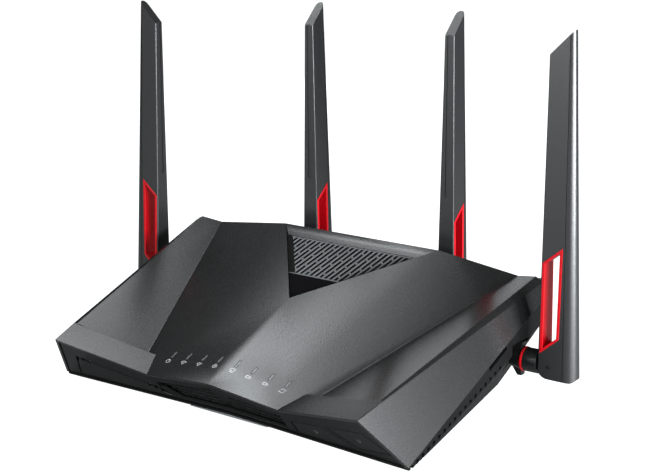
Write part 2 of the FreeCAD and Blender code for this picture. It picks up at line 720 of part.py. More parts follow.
def antenna_nut():
    """Hand nut with two wings, screwed on the connector."""
    collar = Part.makeCone(6.2, 7.8, 8.4, V(2.0, 0, 0), V(1, 0, 0))
    wings = []
    for side in (-1, 1):
        tip, root = 11.6 * side, 5.0 * side
        outline = [(2.4, root), (9.8, root), (10.4, tip), (7.0, tip)]
        wing = prism([V(x, -2.6, z) for x, z in outline], V(0, 5.2, 0))
        wings.append(wing)
    return collar.fuse(wings).cut(rod(3.2, 12, V(1.5, 0, 0), V(1, 0, 0))).removeSplitter()


def antenna_ring():
    return rod(8.3, 1.5, V(10.8, 0, 0), V(1, 0, 0)).cut(rod(2.0, 3, V(10, 0, 0), V(1, 0, 0)))


def antenna_barrel():
    body = rod(8.0, 10.2, V(12.3, 0, 0), V(1, 0, 0))
    spindle = rod(2.0, 9.0, V(3.3, 0, 0), V(1, 0, 0))
    tongue = block(22.0, PIN_OUT, -TONGUE_T / 2, TONGUE_T / 2, -5.0, 5.0)
    knuckle = rod(5.5, TONGUE_T, V(PIN_OUT, -TONGUE_T / 2, 0), V(0, 1, 0))
    barrel = body.fuse([spindle, tongue, knuckle])
    return barrel.cut(rod(1.56, 20, V(PIN_OUT, -10, 0), V(0, 1, 0))).removeSplitter()


def antenna_pin():
    return rod(1.5, 14.4, V(PIN_OUT, -7.2, 0), V(0, 1, 0))


def blade_section(z, grow):
    """Closed outline of the blade at height z above the pin: flat inside, rounded outside."""
    t = (z + 11) / (BLADE_TOP + 12)
    inner = -7.2 - 2.6 * t - grow
    outer = 19.0 - 12.6 * t + grow
    half = 7.4 - 4.0 * t + grow
    big, small = half - 0.3, 0.8
    points = []
    corners = ((outer - big, half - big, big, 90), (outer - big, -half + big, big, 0),
               (inner + small, -half + small, small, -90), (inner + small, half - small, small, -180))
    for cx, cy, r, start in corners:
        for turn in (start, start - 45, start - 90):
            a = math.radians(turn)
            points.append(V(cx + r * math.cos(a), cy + r * math.sin(a), z))
    edges = []
    for i in range(0, 12, 3):
        edges.append(Part.Arc(points[i], points[i + 1], points[i + 2]).toShape())
        edges.append(Part.makeLine(points[i + 2], points[(i + 3) % 12]))
    return Part.Wire(edges)


def blade_blank(grow):
    solid = Part.makeLoft([blade_section(-11, grow), blade_section(BLADE_TOP + 1, grow)], True, True)
    return trim(solid, V(6.2, 0, BLADE_TOP), V(-1, 0, 1).normalize())


def window_prism(e):
    """Slanted window of the blade, shrunk all round by e."""
    corners = [(-6.2 + e, 8.5 + 2.0 * e), (6.8 - e, 20.0 + 0.2 * e),
               (6.4 - e, 80.5 - 2.0 * e), (-7.2 + e, 69.0 - 0.2 * e)]
    return prism([V(x, -12, z) for x, z in corners], V(0, 24, 0))


def antenna_blade():
    blade = blade_blank(0)
    blade = trim(blade, V(0, 0, -BLADE_LOW), V(0, 0, -1))
    heel = block(-20, 0, -10, 10, -20, 0).cut(rod(BLADE_LOW, 30, V(0, -15, 0), V(0, 1, 0)))
    toe_z = TOE_R - BLADE_LOW
    toe = block(TOE_X, 30, -10, 10, -20, toe_z).cut(rod(TOE_R, 30, V(TOE_X, -15, toe_z), V(0, 1, 0)))
    slot = block(-20, 6.2, -TONGUE_T / 2 - 0.3, TONGUE_T / 2 + 0.3, -20, 6.2)
    groove = block(-20, 0, -1.6, 1.6, 86, 206).cut(blade_blank(-GROOVE_DEEP))
    seam = prism([V(x, -10, z) for x, z in SEAM], V(0, 20, 0)).cut(blade_blank(-SEAM_DEEP))
    pin_hole = rod(1.5, 30, V(0, -15, 0), V(0, 1, 0))
    blade = blade.cut([heel, toe, slot, groove, seam, window_prism(0), pin_hole])
    blade = max(blade.Solids, key=lambda s: s.Volume)
    blade.translate(V(PIN_OUT, 0, 0))
    return blade


def antenna_bezel():
    bezel = window_prism(0).cut(window_prism(1.9)).common(blade_blank(0.35))
    bezel.translate(V(PIN_OUT, 0, 0))
    return bezel


ANTENNAS = {
    "left": (V(-SEAT_SIDE, ANT_SIDE_Y, ANT_Z), 180),
    "back_left": (V(-ANT_BACK_X, SEAT_BACK, ANT_Z), 90),
    "back_right": (V(ANT_BACK_X, SEAT_BACK, ANT_Z), 90),
    "right": (V(SEAT_SIDE, ANT_SIDE_Y, ANT_Z), 0),
}


def placed(shape, name):
    seat, turn = ANTENNAS[name]
    shape = shape.copy()
    shape.rotate(V(0, 0, 0), V(0, 0, 1), turn)
    shape.translate(seat)
    return shape


def antenna_leads():
    """Thin coaxial leads from the connectors down to the board."""
    leads = []
    for name, (seat, turn) in ANTENNAS.items():
        reach = 30.0 if "back" not in name else 14.0
        a, b = V(-12, 0, 0), V(-12 - reach, 0, 0)
        c = b + V(-8, 0, -8)
        d = V(c.x, 0, BOARD_Z + BOARD_T + 0.2 - ANT_Z)
        bend = b + V(-8 * math.sin(math.radians(45)), 0, -8 * (1 - math.cos(math.radians(45))))
        path = Part.Wire([Part.makeLine(a, b), Part.Arc(b, bend, c).toShape(), Part.makeLine(c, d)])
        ring = Part.Wire(Part.makeCircle(0.9, a, V(1, 0, 0)))
        leads.append(placed(path.makePipeShell([ring], True, False), name))
    return Part.makeCompound(leads)


# ---- Output -------------------------------------------------------------------------------------
def export(name, shape):
    shape = shape.copy()
    shape.translate(V(0, -ORIGIN_Y, 0))
    shape.exportStep("parts/" + name + ".step")


def main():
    os.makedirs("parts", exist_ok=True)
    top = BOARD_Z + BOARD_T
    nodes = {
        "top_cover": top_cover(), "bottom_shell": bottom_shell(), "vent_mesh": vent_mesh(),
        "badge_panel": badge_panel(), "status_light_lenses": status_light_lenses(),
        "light_guide": light_guide(),
        "front_frame": front_frame(), "front_grille": front_grille(), "usb_flap": usb_flap(),
        "flap_hinge_pin": flap_hinge_pin(), "port_bezel": port_bezel(), "front_usb_port": front_usb_port(),
        "button_board": button_board(), "button_switches": button_switches(), "main_board": main_board(),
        "processor_chips": processor_chips(), "rf_shields": rf_shields(),
        "processor_heatsink": heatsink(-30, 30, 80, 114, top + 2.4, 10, 15),
        "radio_heatsink_left": heatsink(-58, -33, 84, 110, top + 2.4, 6, 7),
        "radio_heatsink_right": heatsink(33, 58, 84, 110, top + 2.4, 6, 7),
        "board_screws": board_screws(), "case_screws": case_screws(), "rubber_feet": rubber_feet(),
        "rear_panel": rear_panel(), "lan_jacks": lan_jacks(), "wan_jack": wan_jack(),
        "rear_usb_port": rear_usb_port(), "power_jack": power_jack(), "rear_switches": rear_switches(),
        "antenna_leads": antenna_leads(),
        "antenna_connectors": Part.makeCompound([placed(antenna_connector(), name) for name in ANTENNAS]),
    }
    for name in BUTTONS:
        nodes[name] = front_button(name)
    for name in REAR_BUTTONS:
        nodes[name] = rear_button(name)
    pieces = {"nut": antenna_nut(), "ring": antenna_ring(), "barrel": antenna_barrel(),
              "pin": antenna_pin(), "blade": antenna_blade(), "bezel": antenna_bezel()}
    for name in ANTENNAS:
        for piece, shape in pieces.items():
            nodes["antenna_" + name + "_" + piece] = placed(shape, name)
    for name, shape in nodes.items():
        export(name, shape)


main()
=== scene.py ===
# %% [markdown]
# A wireless router with four hinged antennas, dressed for a studio picture.
# The solid model arrives first, as a fixed frame of named nodes and moving bodies. Everything
# that follows either gives a node a better finish or puts a more detailed piece in its place,
# and each new piece rides on the body whose motion it shares.

# %% The frame
import json
from math import atan2, cos, hypot, radians, sin

import bmesh
import bpy
from mathutils import Matrix, Vector

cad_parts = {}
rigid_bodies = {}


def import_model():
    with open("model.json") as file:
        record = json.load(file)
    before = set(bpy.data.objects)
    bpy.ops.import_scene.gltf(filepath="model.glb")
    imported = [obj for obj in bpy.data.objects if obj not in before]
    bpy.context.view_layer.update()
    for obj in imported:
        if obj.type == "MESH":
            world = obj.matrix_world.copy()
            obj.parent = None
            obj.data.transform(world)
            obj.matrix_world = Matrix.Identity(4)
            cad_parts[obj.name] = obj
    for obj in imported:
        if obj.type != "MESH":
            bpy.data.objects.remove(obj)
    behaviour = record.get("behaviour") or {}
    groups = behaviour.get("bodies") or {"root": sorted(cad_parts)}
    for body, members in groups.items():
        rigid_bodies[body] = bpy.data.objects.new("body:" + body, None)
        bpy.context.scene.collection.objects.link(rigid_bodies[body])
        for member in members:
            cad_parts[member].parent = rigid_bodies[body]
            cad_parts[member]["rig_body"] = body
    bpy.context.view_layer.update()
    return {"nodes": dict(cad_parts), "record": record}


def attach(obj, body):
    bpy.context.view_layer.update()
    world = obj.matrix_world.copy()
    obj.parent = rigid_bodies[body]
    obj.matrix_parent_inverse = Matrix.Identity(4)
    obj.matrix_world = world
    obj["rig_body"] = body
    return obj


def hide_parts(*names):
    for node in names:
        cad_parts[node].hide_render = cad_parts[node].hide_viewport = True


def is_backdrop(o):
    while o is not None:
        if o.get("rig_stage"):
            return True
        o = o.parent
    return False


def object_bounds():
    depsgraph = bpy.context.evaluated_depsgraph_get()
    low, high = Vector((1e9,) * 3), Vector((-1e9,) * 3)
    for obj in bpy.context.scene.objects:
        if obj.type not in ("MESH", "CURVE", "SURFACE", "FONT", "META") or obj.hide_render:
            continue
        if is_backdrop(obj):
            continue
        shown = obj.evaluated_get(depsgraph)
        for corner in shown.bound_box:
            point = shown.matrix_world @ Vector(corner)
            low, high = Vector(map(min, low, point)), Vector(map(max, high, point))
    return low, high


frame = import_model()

MM = 0.001
NODES = frame["nodes"]
SLOT_OF = {row["node"]: row["material_slot"] for row in frame["record"]["subparts"]}

# %% [markdown]
# Measures are easiest to read from the router's own front lip: x to the right of the middle,
# y back from the lip and z up from the table, in millimetres. One helper turns such a point
# into the frame's metres, so the numbers below are those of a drawing of the case.

# %% Points on the case
LIP_BACK = 103.0


def at(x, y, z):
    """A point of the case drawing, as a place in the frame."""
    return Vector((x, y - LIP_BACK, z)) * MM


print("front lip at", tuple(round(v, 4) for v in at(0, 0, 25.4)))

# %% [markdown]
# The stage is a pale floor that runs past everything the camera sees, and the camera stands to
# the right of the front, a little above the case. A long lens keeps the four antennas nearly
# parallel. The floor is not part of the object, so it is marked as stage.

# %% Floor and camera
scene = bpy.context.scene


def make_camera():
    lens = bpy.data.cameras.new("studio_camera")
    lens.lens = 74.93
    lens.sensor_width = 36.0
    lens.clip_start, lens.clip_end = 0.05, 60.0
    camera = bpy.data.objects.new("studio_camera", lens)
    camera.location = (0.5290, -0.7235, 0.3428)
    camera.rotation_euler = (radians(90 - 14.8), 0.0, radians(35.27))
    scene.collection.objects.link(camera)
    scene.camera = camera


def make_floor():
    sheet = bmesh.new()
    bmesh.ops.create_grid(sheet, x_segments=2, y_segments=2, size=20.0)
    mesh = bpy.data.meshes.new("floor")
    sheet.to_mesh(mesh)
    sheet.free()
    floor = bpy.data.objects.new("floor", mesh)
    scene.collection.objects.link(floor)
    paint = bpy.data.materials.new("pale floor")
    paint.use_nodes = True
    tree = paint.node_tree
    shader = tree.nodes["Principled BSDF"]
    shader.inputs["Base Color"].default_value = (0.45, 0.45, 0.45, 1)
    shader.inputs["Roughness"].default_value = 0.75
    shader.inputs["Specular IOR Level"].default_value = 0.2
    shader.inputs["Emission Color"].default_value = (1, 1, 1, 1)
    seen = tree.nodes.new("ShaderNodeLightPath").outputs["Is Camera Ray"]
    tree.links.new(seen, shader.inputs["Emission Strength"])
    mesh.materials.append(paint)
    floor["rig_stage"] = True


make_camera()
make_floor()
print("camera at", tuple(scene.camera.location))

# %% [markdown]
# Dark satin plastic shows little of its own colour: what the eye reads is the reflection of the
# lamps. Two small keys high on the left turn the facets that face them light grey and leave their
# neighbours dark. Two low lamps light the right side, two at the front open the front walls, one
# behind on the left edges the antennas, and an even pale surround fills the rest.

# %% Studio light
def soft_lamp(name, place, aim, width, depth, power):
    lamp = bpy.data.lights.new(name, "AREA")
    lamp.shape = "RECTANGLE"
    lamp.size, lamp.size_y = width, depth
    lamp.energy = power
    lamp.color = (0.94, 0.98, 1.0)
    holder = bpy.data.objects.new(name, lamp)
    holder.location = place
    holder.rotation_euler = (Vector(aim) - Vector(place)).to_track_quat("-Z", "Y").to_euler()
    scene.collection.objects.link(holder)


soft_lamp("key_left", (-0.62, 0.15, 1.16), (0.05, 0, 0.05), 0.3, 0.25, 2.6)
soft_lamp("key_back", (-0.62, 0.38, 1.16), (0.05, 0, 0.05), 0.5, 0.25, 2.0)
soft_lamp("low_right", (1.15, 0.02, 0.20), (0.12, -0.06, 0.03), 0.36, 0.34, 24)
soft_lamp("right_side", (1.4, -0.6, 0.25), (0, 0, 0.1), 0.5, 0.5, 20)
soft_lamp("front_fill", (0.7, -1.7, 0.7), (0, 0, 0.08), 0.8, 0.7, 3.5)
soft_lamp("front_left", (-0.6, -1.5, 0.6), (0, 0, 0.08), 0.7, 0.7, 14)
soft_lamp("back_left", (-0.9, 1.2, 0.35), (0, 0, 0.08), 0.8, 0.5, 3.5)


def make_surround(plain, mirrored):
    """An even surround: one strength for what it lights, a lower one for what it shows in gloss."""
    world = bpy.data.worlds.new("surround")
    world.use_nodes = True
    tree = world.node_tree
    tree.nodes["Background"].inputs["Color"].default_value = (1, 1, 1, 1)
    path = tree.nodes.new("ShaderNodeLightPath")
    strength = tree.nodes.new("ShaderNodeMapRange")
    strength.inputs["To Min"].default_value = plain
    strength.inputs["To Max"].default_value = mirrored
    tree.links.new(path.outputs["Is Glossy Ray"], strength.inputs["Value"])
    tree.links.new(strength.outputs["Result"], tree.nodes["Background"].inputs["Strength"])
    scene.world = world


make_surround(0.2, 0.03)
scene.view_settings.view_transform = "Standard"

# %% [markdown]
# Four effects recur on every moulding, so each is a node group made once: the fine grain that a
# spark-eroded mould leaves, a slow drift of tone over the surface, the rubbed edges that catch
# light, and the trace of dust that settles on upward faces. A group only puts out numbers that
# vary over the surface; the shader itself stays in each material.

# %% Helpers for node groups
def new_group(name, inputs, outputs):
    group = bpy.data.node_groups.new(name, "ShaderNodeTree")
    for label, start in inputs:
        socket = group.interface.new_socket(label, in_out="INPUT", socket_type="NodeSocketFloat")
        socket.default_value = start
    for label in outputs:
        group.interface.new_socket(label, in_out="OUTPUT", socket_type="NodeSocketFloat")
    return group, group.nodes.new("NodeGroupInput"), group.nodes.new("NodeGroupOutput")


def node(tree, kind, inputs=None, **settings):
    """One node in a tree, with its settings and with its inputs set or linked."""
    made = tree.nodes.new("ShaderNode" + kind)
    for key, value in settings.items():
        setattr(made, key, value)
    for key, value in (inputs or {}).items():
        if isinstance(value, bpy.types.NodeSocket):
            tree.links.new(value, made.inputs[key])
        else:
            made.inputs[key].default_value = value
    return made


def maths(tree, operation, a, b=0.0, clamp=False):
    return node(tree, "Math", {0: a, 1: b}, operation=operation, use_clamp=clamp).outputs[0]


def scaled_up(tree, value, factor, start):
    """value * factor + start, in one node."""
    return node(tree, "Math", {0: value, 1: factor, 2: start}, operation="MULTIPLY_ADD").outputs[0]


# %% [markdown]
# Grain: two noises at different pitches, one the size of the eroded pits and one a few times
# coarser, added as a height. Drift: one very broad noise, so that no large face is a flat tone.

# %% Grain and drift
def build_grain():
    inputs = [("Pitch", 2200.0), ("Coarse", 0.35)]
    group, given, out = new_group("mould grain", inputs, ["Height", "Speck"])
    place = node(group, "TexCoord").outputs["Object"]
    fine = node(
        group, "TexNoise", {"Vector": place, "Scale": given.outputs["Pitch"], "Detail": 2.0}
    )
    pitch = maths(group, "MULTIPLY", given.outputs["Pitch"], 0.23)
    broad = node(group, "TexNoise", {"Vector": place, "Scale": pitch, "Detail": 1.0})
    weighed = maths(group, "MULTIPLY", broad.outputs["Fac"], given.outputs["Coarse"])
    height = maths(group, "ADD", fine.outputs["Fac"], weighed)
    group.links.new(height, out.inputs["Height"])
    group.links.new(fine.outputs["Fac"], out.inputs["Speck"])
    return group


def build_drift():
    group, given, out = new_group("tone drift", [("Pitch", 18.0), ("Spread", 0.2)], ["Tone"])
    place = node(group, "TexCoord").outputs["Object"]
    cloud = node(
        group, "TexNoise", {"Vector": place, "Scale": given.outputs["Pitch"], "Detail": 3.0}
    )
    centred = maths(group, "SUBTRACT", cloud.outputs["Fac"], 0.5)
    scaled = maths(group, "MULTIPLY", centred, given.outputs["Spread"])
    tone = maths(group, "ADD", scaled, 0.5)
    group.links.new(tone, out.inputs["Tone"])
    return group


GRAIN = build_grain()
DRIFT = build_drift()
print("groups", GRAIN.name, "and", DRIFT.name)

# %% [markdown]
# Edge wear: a Bevel node gives the normal that a rounded edge would have, and where it turns
# away from the true normal there is an edge. Dust: the normal's upward part, broken up by noise.

# %% Edge wear and dust
def build_edge_wear():
    group, given, out = new_group("edge wear", [("Reach", 0.0007), ("Amount", 0.5)], ["Mask"])
    plain = node(group, "NewGeometry").outputs["Normal"]
    round_edge = node(group, "Bevel", {"Radius": given.outputs["Reach"]}, samples=3)
    both = {0: plain, 1: round_edge.outputs["Normal"]}
    facing = node(group, "VectorMath", both, operation="DOT_PRODUCT")
    turned = maths(group, "SUBTRACT", 1.0, facing.outputs["Value"], clamp=True)
    edge = maths(group, "MULTIPLY", turned, 5.0, clamp=True)
    place = node(group, "TexCoord").outputs["Object"]
    patchy = node(group, "TexNoise", {"Vector": place, "Scale": 260.0, "Detail": 4.0})
    broken = maths(group, "MULTIPLY", edge, patchy.outputs["Fac"])
    mask = maths(group, "MULTIPLY", broken, given.outputs["Amount"], clamp=True)
    group.links.new(mask, out.inputs["Mask"])
    return group


def build_dust():
    group, given, out = new_group("settled dust", [("Amount", 0.05)], ["Mask"])
    normal = node(group, "SeparateXYZ", {"Vector": node(group, "NewGeometry").outputs["Normal"]})
    up = maths(group, "MAXIMUM", normal.outputs["Z"], 0.0)
    place = node(group, "TexCoord").outputs["Object"]
    speckle = {"Vector": place, "Scale": 420.0, "Detail": 6.0, "Roughness": 0.7}
    motes = node(group, "TexNoise", speckle)
    film = maths(group, "MULTIPLY", up, motes.outputs["Fac"])
    mask = maths(group, "MULTIPLY", film, given.outputs["Amount"], clamp=True)
    group.links.new(mask, out.inputs["Mask"])
    return group


EDGE_WEAR = build_edge_wear()
DUST = build_dust()
print("groups", EDGE_WEAR.name, "and", DUST.name)

# %% [markdown]
# Nearly every visible finish is injection-moulded plastic. One recipe mixes the base colour by
# the drift, lightens it at rubbed edges and under dust, and lets the grain move both the
# roughness and the bump. Each finish then calls it with its own colour, gloss and grain.

# %% The moulded-plastic recipe
def grouped(tree, group, **values):
    made = tree.nodes.new("ShaderNodeGroup")
    made.node_tree = group
    for key, value in values.items():
        made.inputs[key].default_value = value
    return made


def blend_colours(tree, mask, first, second):
    mix = tree.nodes.new("ShaderNodeMix")
    mix.data_type = "RGBA"
    tree.links.new(mask, mix.inputs["Factor"])
    for slot_number, colour in ((6, first), (7, second)):
        if isinstance(colour, bpy.types.NodeSocket):
            tree.links.new(colour, mix.inputs[slot_number])
        else:
            mix.inputs[slot_number].default_value = (*colour, 1.0)
    return mix.outputs[2]


DUST_COLOUR = (0.42, 0.41, 0.39)


def tinted(colour, factor):
    return tuple(min(1.0, c * factor) for c in colour)


def new_material(name, roughness, specular=0.5):
    material = bpy.data.materials.new(name)
    material.use_nodes = True
    shader = material.node_tree.nodes["Principled BSDF"]
    shader.inputs["Roughness"].default_value = roughness
    shader.inputs["Specular IOR Level"].default_value = specular
    return material, material.node_tree, shader


def moulded(
    name, colour, roughness, pitch=2200.0, depth=0.00002, wear=0.35, dust=0.05, specular=0.5
):
    material, tree, shader = new_material(name, roughness, specular)
    grain = grouped(tree, GRAIN, Pitch=pitch)
    drift = grouped(tree, DRIFT, Pitch=14.0, Spread=0.9)
    rubbed = grouped(tree, EDGE_WEAR, Amount=wear)
    settled = grouped(tree, DUST, Amount=dust)
    body = blend_colours(tree, drift.outputs["Tone"], tinted(colour, 0.86), tinted(colour, 1.14))
    worn = blend_colours(tree, rubbed.outputs["Mask"], body, tinted(colour, 2.2))
    dusty = blend_colours(tree, settled.outputs["Mask"], worn, DUST_COLOUR)
    tree.links.new(dusty, shader.inputs["Base Color"])
    spread = scaled_up(tree, grain.outputs["Speck"], 0.12, roughness - 0.06)
    tree.links.new(spread, shader.inputs["Roughness"])
    raised = {"Height": grain.outputs["Height"], "Strength": 1.0, "Distance": depth}
    bump = node(tree, "Bump", raised)
    tree.links.new(bump.outputs["Normal"], shader.inputs["Normal"])
    return material


FINISH = {
    "case_charcoal": moulded(
        "charcoal case plastic", (0.0055, 0.0058, 0.0064), 0.28, depth=0.000008
    ),
    "frame_black": moulded("black front moulding", (0.0045, 0.0045, 0.005), 0.36, specular=0.15),
    "vent_grey": moulded("grey vent ribs", (0.16, 0.165, 0.17), 0.3),
    "badge_gloss": moulded(
        "polished black badge", (0.004, 0.004, 0.005), 0.06, depth=0.0, wear=0.0, dust=0.01
    ),
    "antenna_body": moulded(
        "satin antenna plastic", (0.010, 0.0105, 0.0115), 0.36, specular=0.85
    ),
    "antenna_joint": moulded("black joint plastic", (0.007, 0.007, 0.0075), 0.36),
    "red_trim": moulded(
        "red trim", (0.54, 0.001, 0.007), 0.36, depth=0.000006, wear=0.1, specular=0.3
    ),
    "button_dark": moulded("button plastic", (0.0055, 0.0056, 0.006), 0.34, specular=0.18),
    "chip_black": moulded("chip package", (0.02, 0.02, 0.02), 0.5),
    "jack_black": moulded("black jack moulding", (0.018, 0.018, 0.02), 0.4),
    "jack_blue": moulded("blue jack moulding", (0.012, 0.09, 0.42), 0.38),
    "rubber_grey": moulded(
        "foot rubber", (0.05, 0.05, 0.052), 0.75, pitch=1500.0, depth=0.00005, dust=0.1
    ),
    "lead_black": moulded("lead sheath", (0.02, 0.02, 0.02), 0.45),
}
print(len(FINISH), "moulded finishes")

# %% [markdown]
# Metals are bright because they reflect: the metallic setting is full, and the finish comes from
# how rough the surface is and how fine marks run over it. Stretching a noise along one axis
# draws the marks of rolling or plating.

# %% Metal, lens and board finishes
def plated(name, colour, roughness, stretch=(900.0, 90.0, 900.0)):
    material, tree, shader = new_material(name, roughness)
    shader.inputs["Metallic"].default_value = 1.0
    start = node(tree, "TexCoord").outputs["Object"]
    place = node(tree, "Mapping", {"Vector": start, "Scale": stretch})
    marks = node(tree, "TexNoise", {"Vector": place.outputs["Vector"], "Scale": 1.0, "Detail": 5.0})
    settled = grouped(tree, DUST, Amount=0.08)
    bright = blend_colours(tree, marks.outputs["Fac"], tinted(colour, 0.88), tinted(colour, 1.08))
    dusty = blend_colours(tree, settled.outputs["Mask"], bright, DUST_COLOUR)
    tree.links.new(dusty, shader.inputs["Base Color"])
    spread = scaled_up(tree, marks.outputs["Fac"], 0.2, roughness - 0.1)
    tree.links.new(spread, shader.inputs["Roughness"])
    return material


def board_finish():
    material, tree, shader = new_material("solder-masked board", 0.35)
    place = node(tree, "TexCoord").outputs["Object"]
    grid = {"Vector": place, "Scale": 160.0, "Mortar Size": 0.06}
    tracks = node(tree, "TexBrick", grid, offset=0.3)
    tracks.inputs["Color1"].default_value = (0.010, 0.085, 0.040, 1)
    tracks.inputs["Color2"].default_value = (0.014, 0.110, 0.055, 1)
    tracks.inputs["Mortar"].default_value = (0.03, 0.17, 0.09, 1)
    tree.links.new(tracks.outputs["Color"], shader.inputs["Base Color"])
    raised = {"Height": tracks.outputs["Fac"], "Strength": 0.4, "Distance": 0.00003}
    bump = node(tree, "Bump", raised)
    tree.links.new(bump.outputs["Normal"], shader.inputs["Normal"])
    return material


FINISH["shield_tin"] = plated("tinned steel", (0.60, 0.60, 0.58), 0.35)
FINISH["sink_alloy"] = plated("extruded aluminium", (0.72, 0.73, 0.75), 0.35)
FINISH["screw_steel"] = plated("zinc-plated steel", (0.45, 0.45, 0.46), 0.32)
FINISH["usb_steel"] = plated("nickel-plated shell", (0.62, 0.62, 0.63), 0.28)
FINISH["brass_gold"] = plated("gold-plated brass", (0.78, 0.58, 0.24), 0.28)
FINISH["board_green"] = board_finish()
FINISH["lens_white"] = moulded("milky light pipe", (0.16, 0.165, 0.17), 0.3, wear=0.0, specular=0.6)
for name, item in NODES.items():
    item.data.materials.clear()
    item.data.materials.append(FINISH[SLOT_OF[name]])
print(len(FINISH), "finishes on", len(NODES), "nodes")

# %% [markdown]
# Real mouldings have no knife edges: each corner has a small radius that draws a thin highlight.
# The solid nodes have exact shapes but sharp edges, so a merged copy of a node is cleaned of the
# flat triangles, its sharp edges are rounded with the bevel operator, and the copy stands for
# the node. Weighted normals keep the flat faces flat beside the rounded edges.

# %% Softened copies of the solid nodes
def merged_copy(name):
    shape = bmesh.new()
    shape.from_mesh(NODES[name].data)
    bmesh.ops.remove_doubles(shape, verts=shape.verts, dist=0.002 * MM)
    bmesh.ops.dissolve_limit(shape, angle_limit=radians(0.6), verts=shape.verts, edges=shape.edges)
    return shape


def sharp_edges(shape, angle):
    return [e for e in shape.edges if e.is_manifold and e.calc_face_angle(0.0) > radians(angle)]


def round_edges(shape, edges, width, segments=2, clamp=False):
    bmesh.ops.bevel(
        shape, geom=edges, offset=width * MM, offset_type="OFFSET", segments=segments,
        profile=0.5, affect="EDGES", clamp_overlap=clamp, material=-1,
    )


def add_piece(name, shape, body, slot, stands_for=(), finish=None, smooth=32):
    """Turns a finished bmesh into a piece that rides on a body and has a finish."""
    mesh = bpy.data.meshes.new(name)
    shape.to_mesh(mesh)
    shape.free()
    piece = bpy.data.objects.new(name, mesh)
    scene.collection.objects.link(piece)
    mesh.shade_smooth()
    mesh.set_sharp_from_angle(angle=radians(smooth))
    mesh.materials.append(finish or FINISH[slot])
    weigh = piece.modifiers.new("weigh normals", "WEIGHTED_NORMAL")
    weigh.keep_sharp = True
    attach(piece, body)
    if stands_for:
        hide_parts(*stands_for)
    return piece


def softened(name, width, angle=24, segments=2):
    shape = merged_copy(name)
    round_edges(shape, sharp_edges(shape, angle), width, segments)
    body = NODES[name]["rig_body"]
    return add_piece("soft_" + name, shape, body, SLOT_OF[name], [name])


SOFT_EDGES = {
    "bottom_shell": 0.3, "front_frame": 0.45, "usb_flap": 0.55, "wifi_button": 0.55,
    "led_button": 0.55, "front_grille": 0.2, "badge_panel": 0.25, "rubber_feet": 0.5,
    "rear_panel": 0.2, "power_button": 0.4, "wps_button": 0.4,
}
lower_black = moulded("black lower shell", (0.004, 0.004, 0.0043), 0.5, specular=0.12)
OWN_FINISH = {"bottom_shell": lower_black, "front_grille": FINISH["frame_black"]}
for name, width in SOFT_EDGES.items():
    piece = softened(name, width)
    if name in OWN_FINISH:
        piece.data.materials[0] = OWN_FINISH[name]
    print(piece.name, len(piece.data.polygons), "faces")

# %% [markdown]
# The cover is one large moulding. Behind the shoulder, where its roof meets the big outer facet,
# there is a flat chamfer some six millimetres wide, which stays darker than both neighbours. A
# wide bevel of one segment cuts it before the small bevel rounds every remaining edge.

# %% The top cover
SHOULDER_BACK = 20


def ridge_edges(shape):
    found = []
    for edge in shape.edges:
        side = 1 if edge.verts[0].co.x > 0 else -1
        middle = (edge.verts[0].co.y + edge.verts[1].co.y) / 2
        behind_shoulder = middle > at(0, SHOULDER_BACK, 0).y
        normals = [face.normal for face in edge.link_faces]
        faces_out = any(n.x * side > 0.8 and n.z > 0.2 for n in normals)
        faces_up = any(n.z > 0.7 for n in normals)
        if faces_out and faces_up and behind_shoulder:
            found.append(edge)
    return found


cover = merged_copy("top_cover")
ridge = ridge_edges(cover)
round_edges(cover, ridge, 4.0, segments=1)
round_edges(cover, sharp_edges(cover, 20), 0.45)
add_piece("soft_top_cover", cover, "case", "case_charcoal", ["top_cover"])
print("chamfered", len(ridge), "ridge edges")

# %% [markdown]
# Several small things are drawn on a face of the case: printed marks, contact wires, thin
# ledges. A drawing plane is a matrix whose first two axes lie in that face. A bar is one cube
# stretched between two points of the plane, and an arc is a run of short bars.

# %% Drawing planes, bars and arcs
def drawing_plane(origin, across, up):
    across = Vector(across).normalized()
    out = across.cross(Vector(up)).normalized()
    rows = Matrix((across, out.cross(across), out)).transposed().to_4x4()
    return Matrix.Translation(origin) @ rows @ Matrix.Scale(MM, 4)


def bar(shape, plane, a, b, width, tall, base=0.0):
    run = Vector((b[0] - a[0], b[1] - a[1]))
    middle = Matrix.Translation(((a[0] + b[0]) / 2, (a[1] + b[1]) / 2, base + tall / 2))
    turn = Matrix.Rotation(atan2(run.y, run.x), 4, "Z")
    size = Matrix.Diagonal((run.length + width, width, tall, 1))
    bmesh.ops.create_cube(shape, size=1.0, matrix=plane @ middle @ turn @ size)


def arc(shape, plane, middle, radius, start, end, width, tall, steps=8):
    turns = [radians(start + (end - start) * i / steps) for i in range(steps + 1)]
    points = [(middle[0] + radius * cos(t), middle[1] + radius * sin(t)) for t in turns]
    for a, b in zip(points, points[1:]):
        bar(shape, plane, a, b, width, tall)


print("drawings are in units of", MM, "metres")

# %% [markdown]
# The vent is a slanted V with satin grey ribs over black. The ribs run back and slightly to the
# right, and short slanted links join neighbours, like the tracks of a circuit. They are narrower
# here than in the solid grille, so that black shows between them at a low angle of view, but each
# one lies along the middle of a solid rib, and each link along the middle of a solid bridge. Each
# rib and link is a bar; the whole set is then trimmed along the walls, the front and the back.

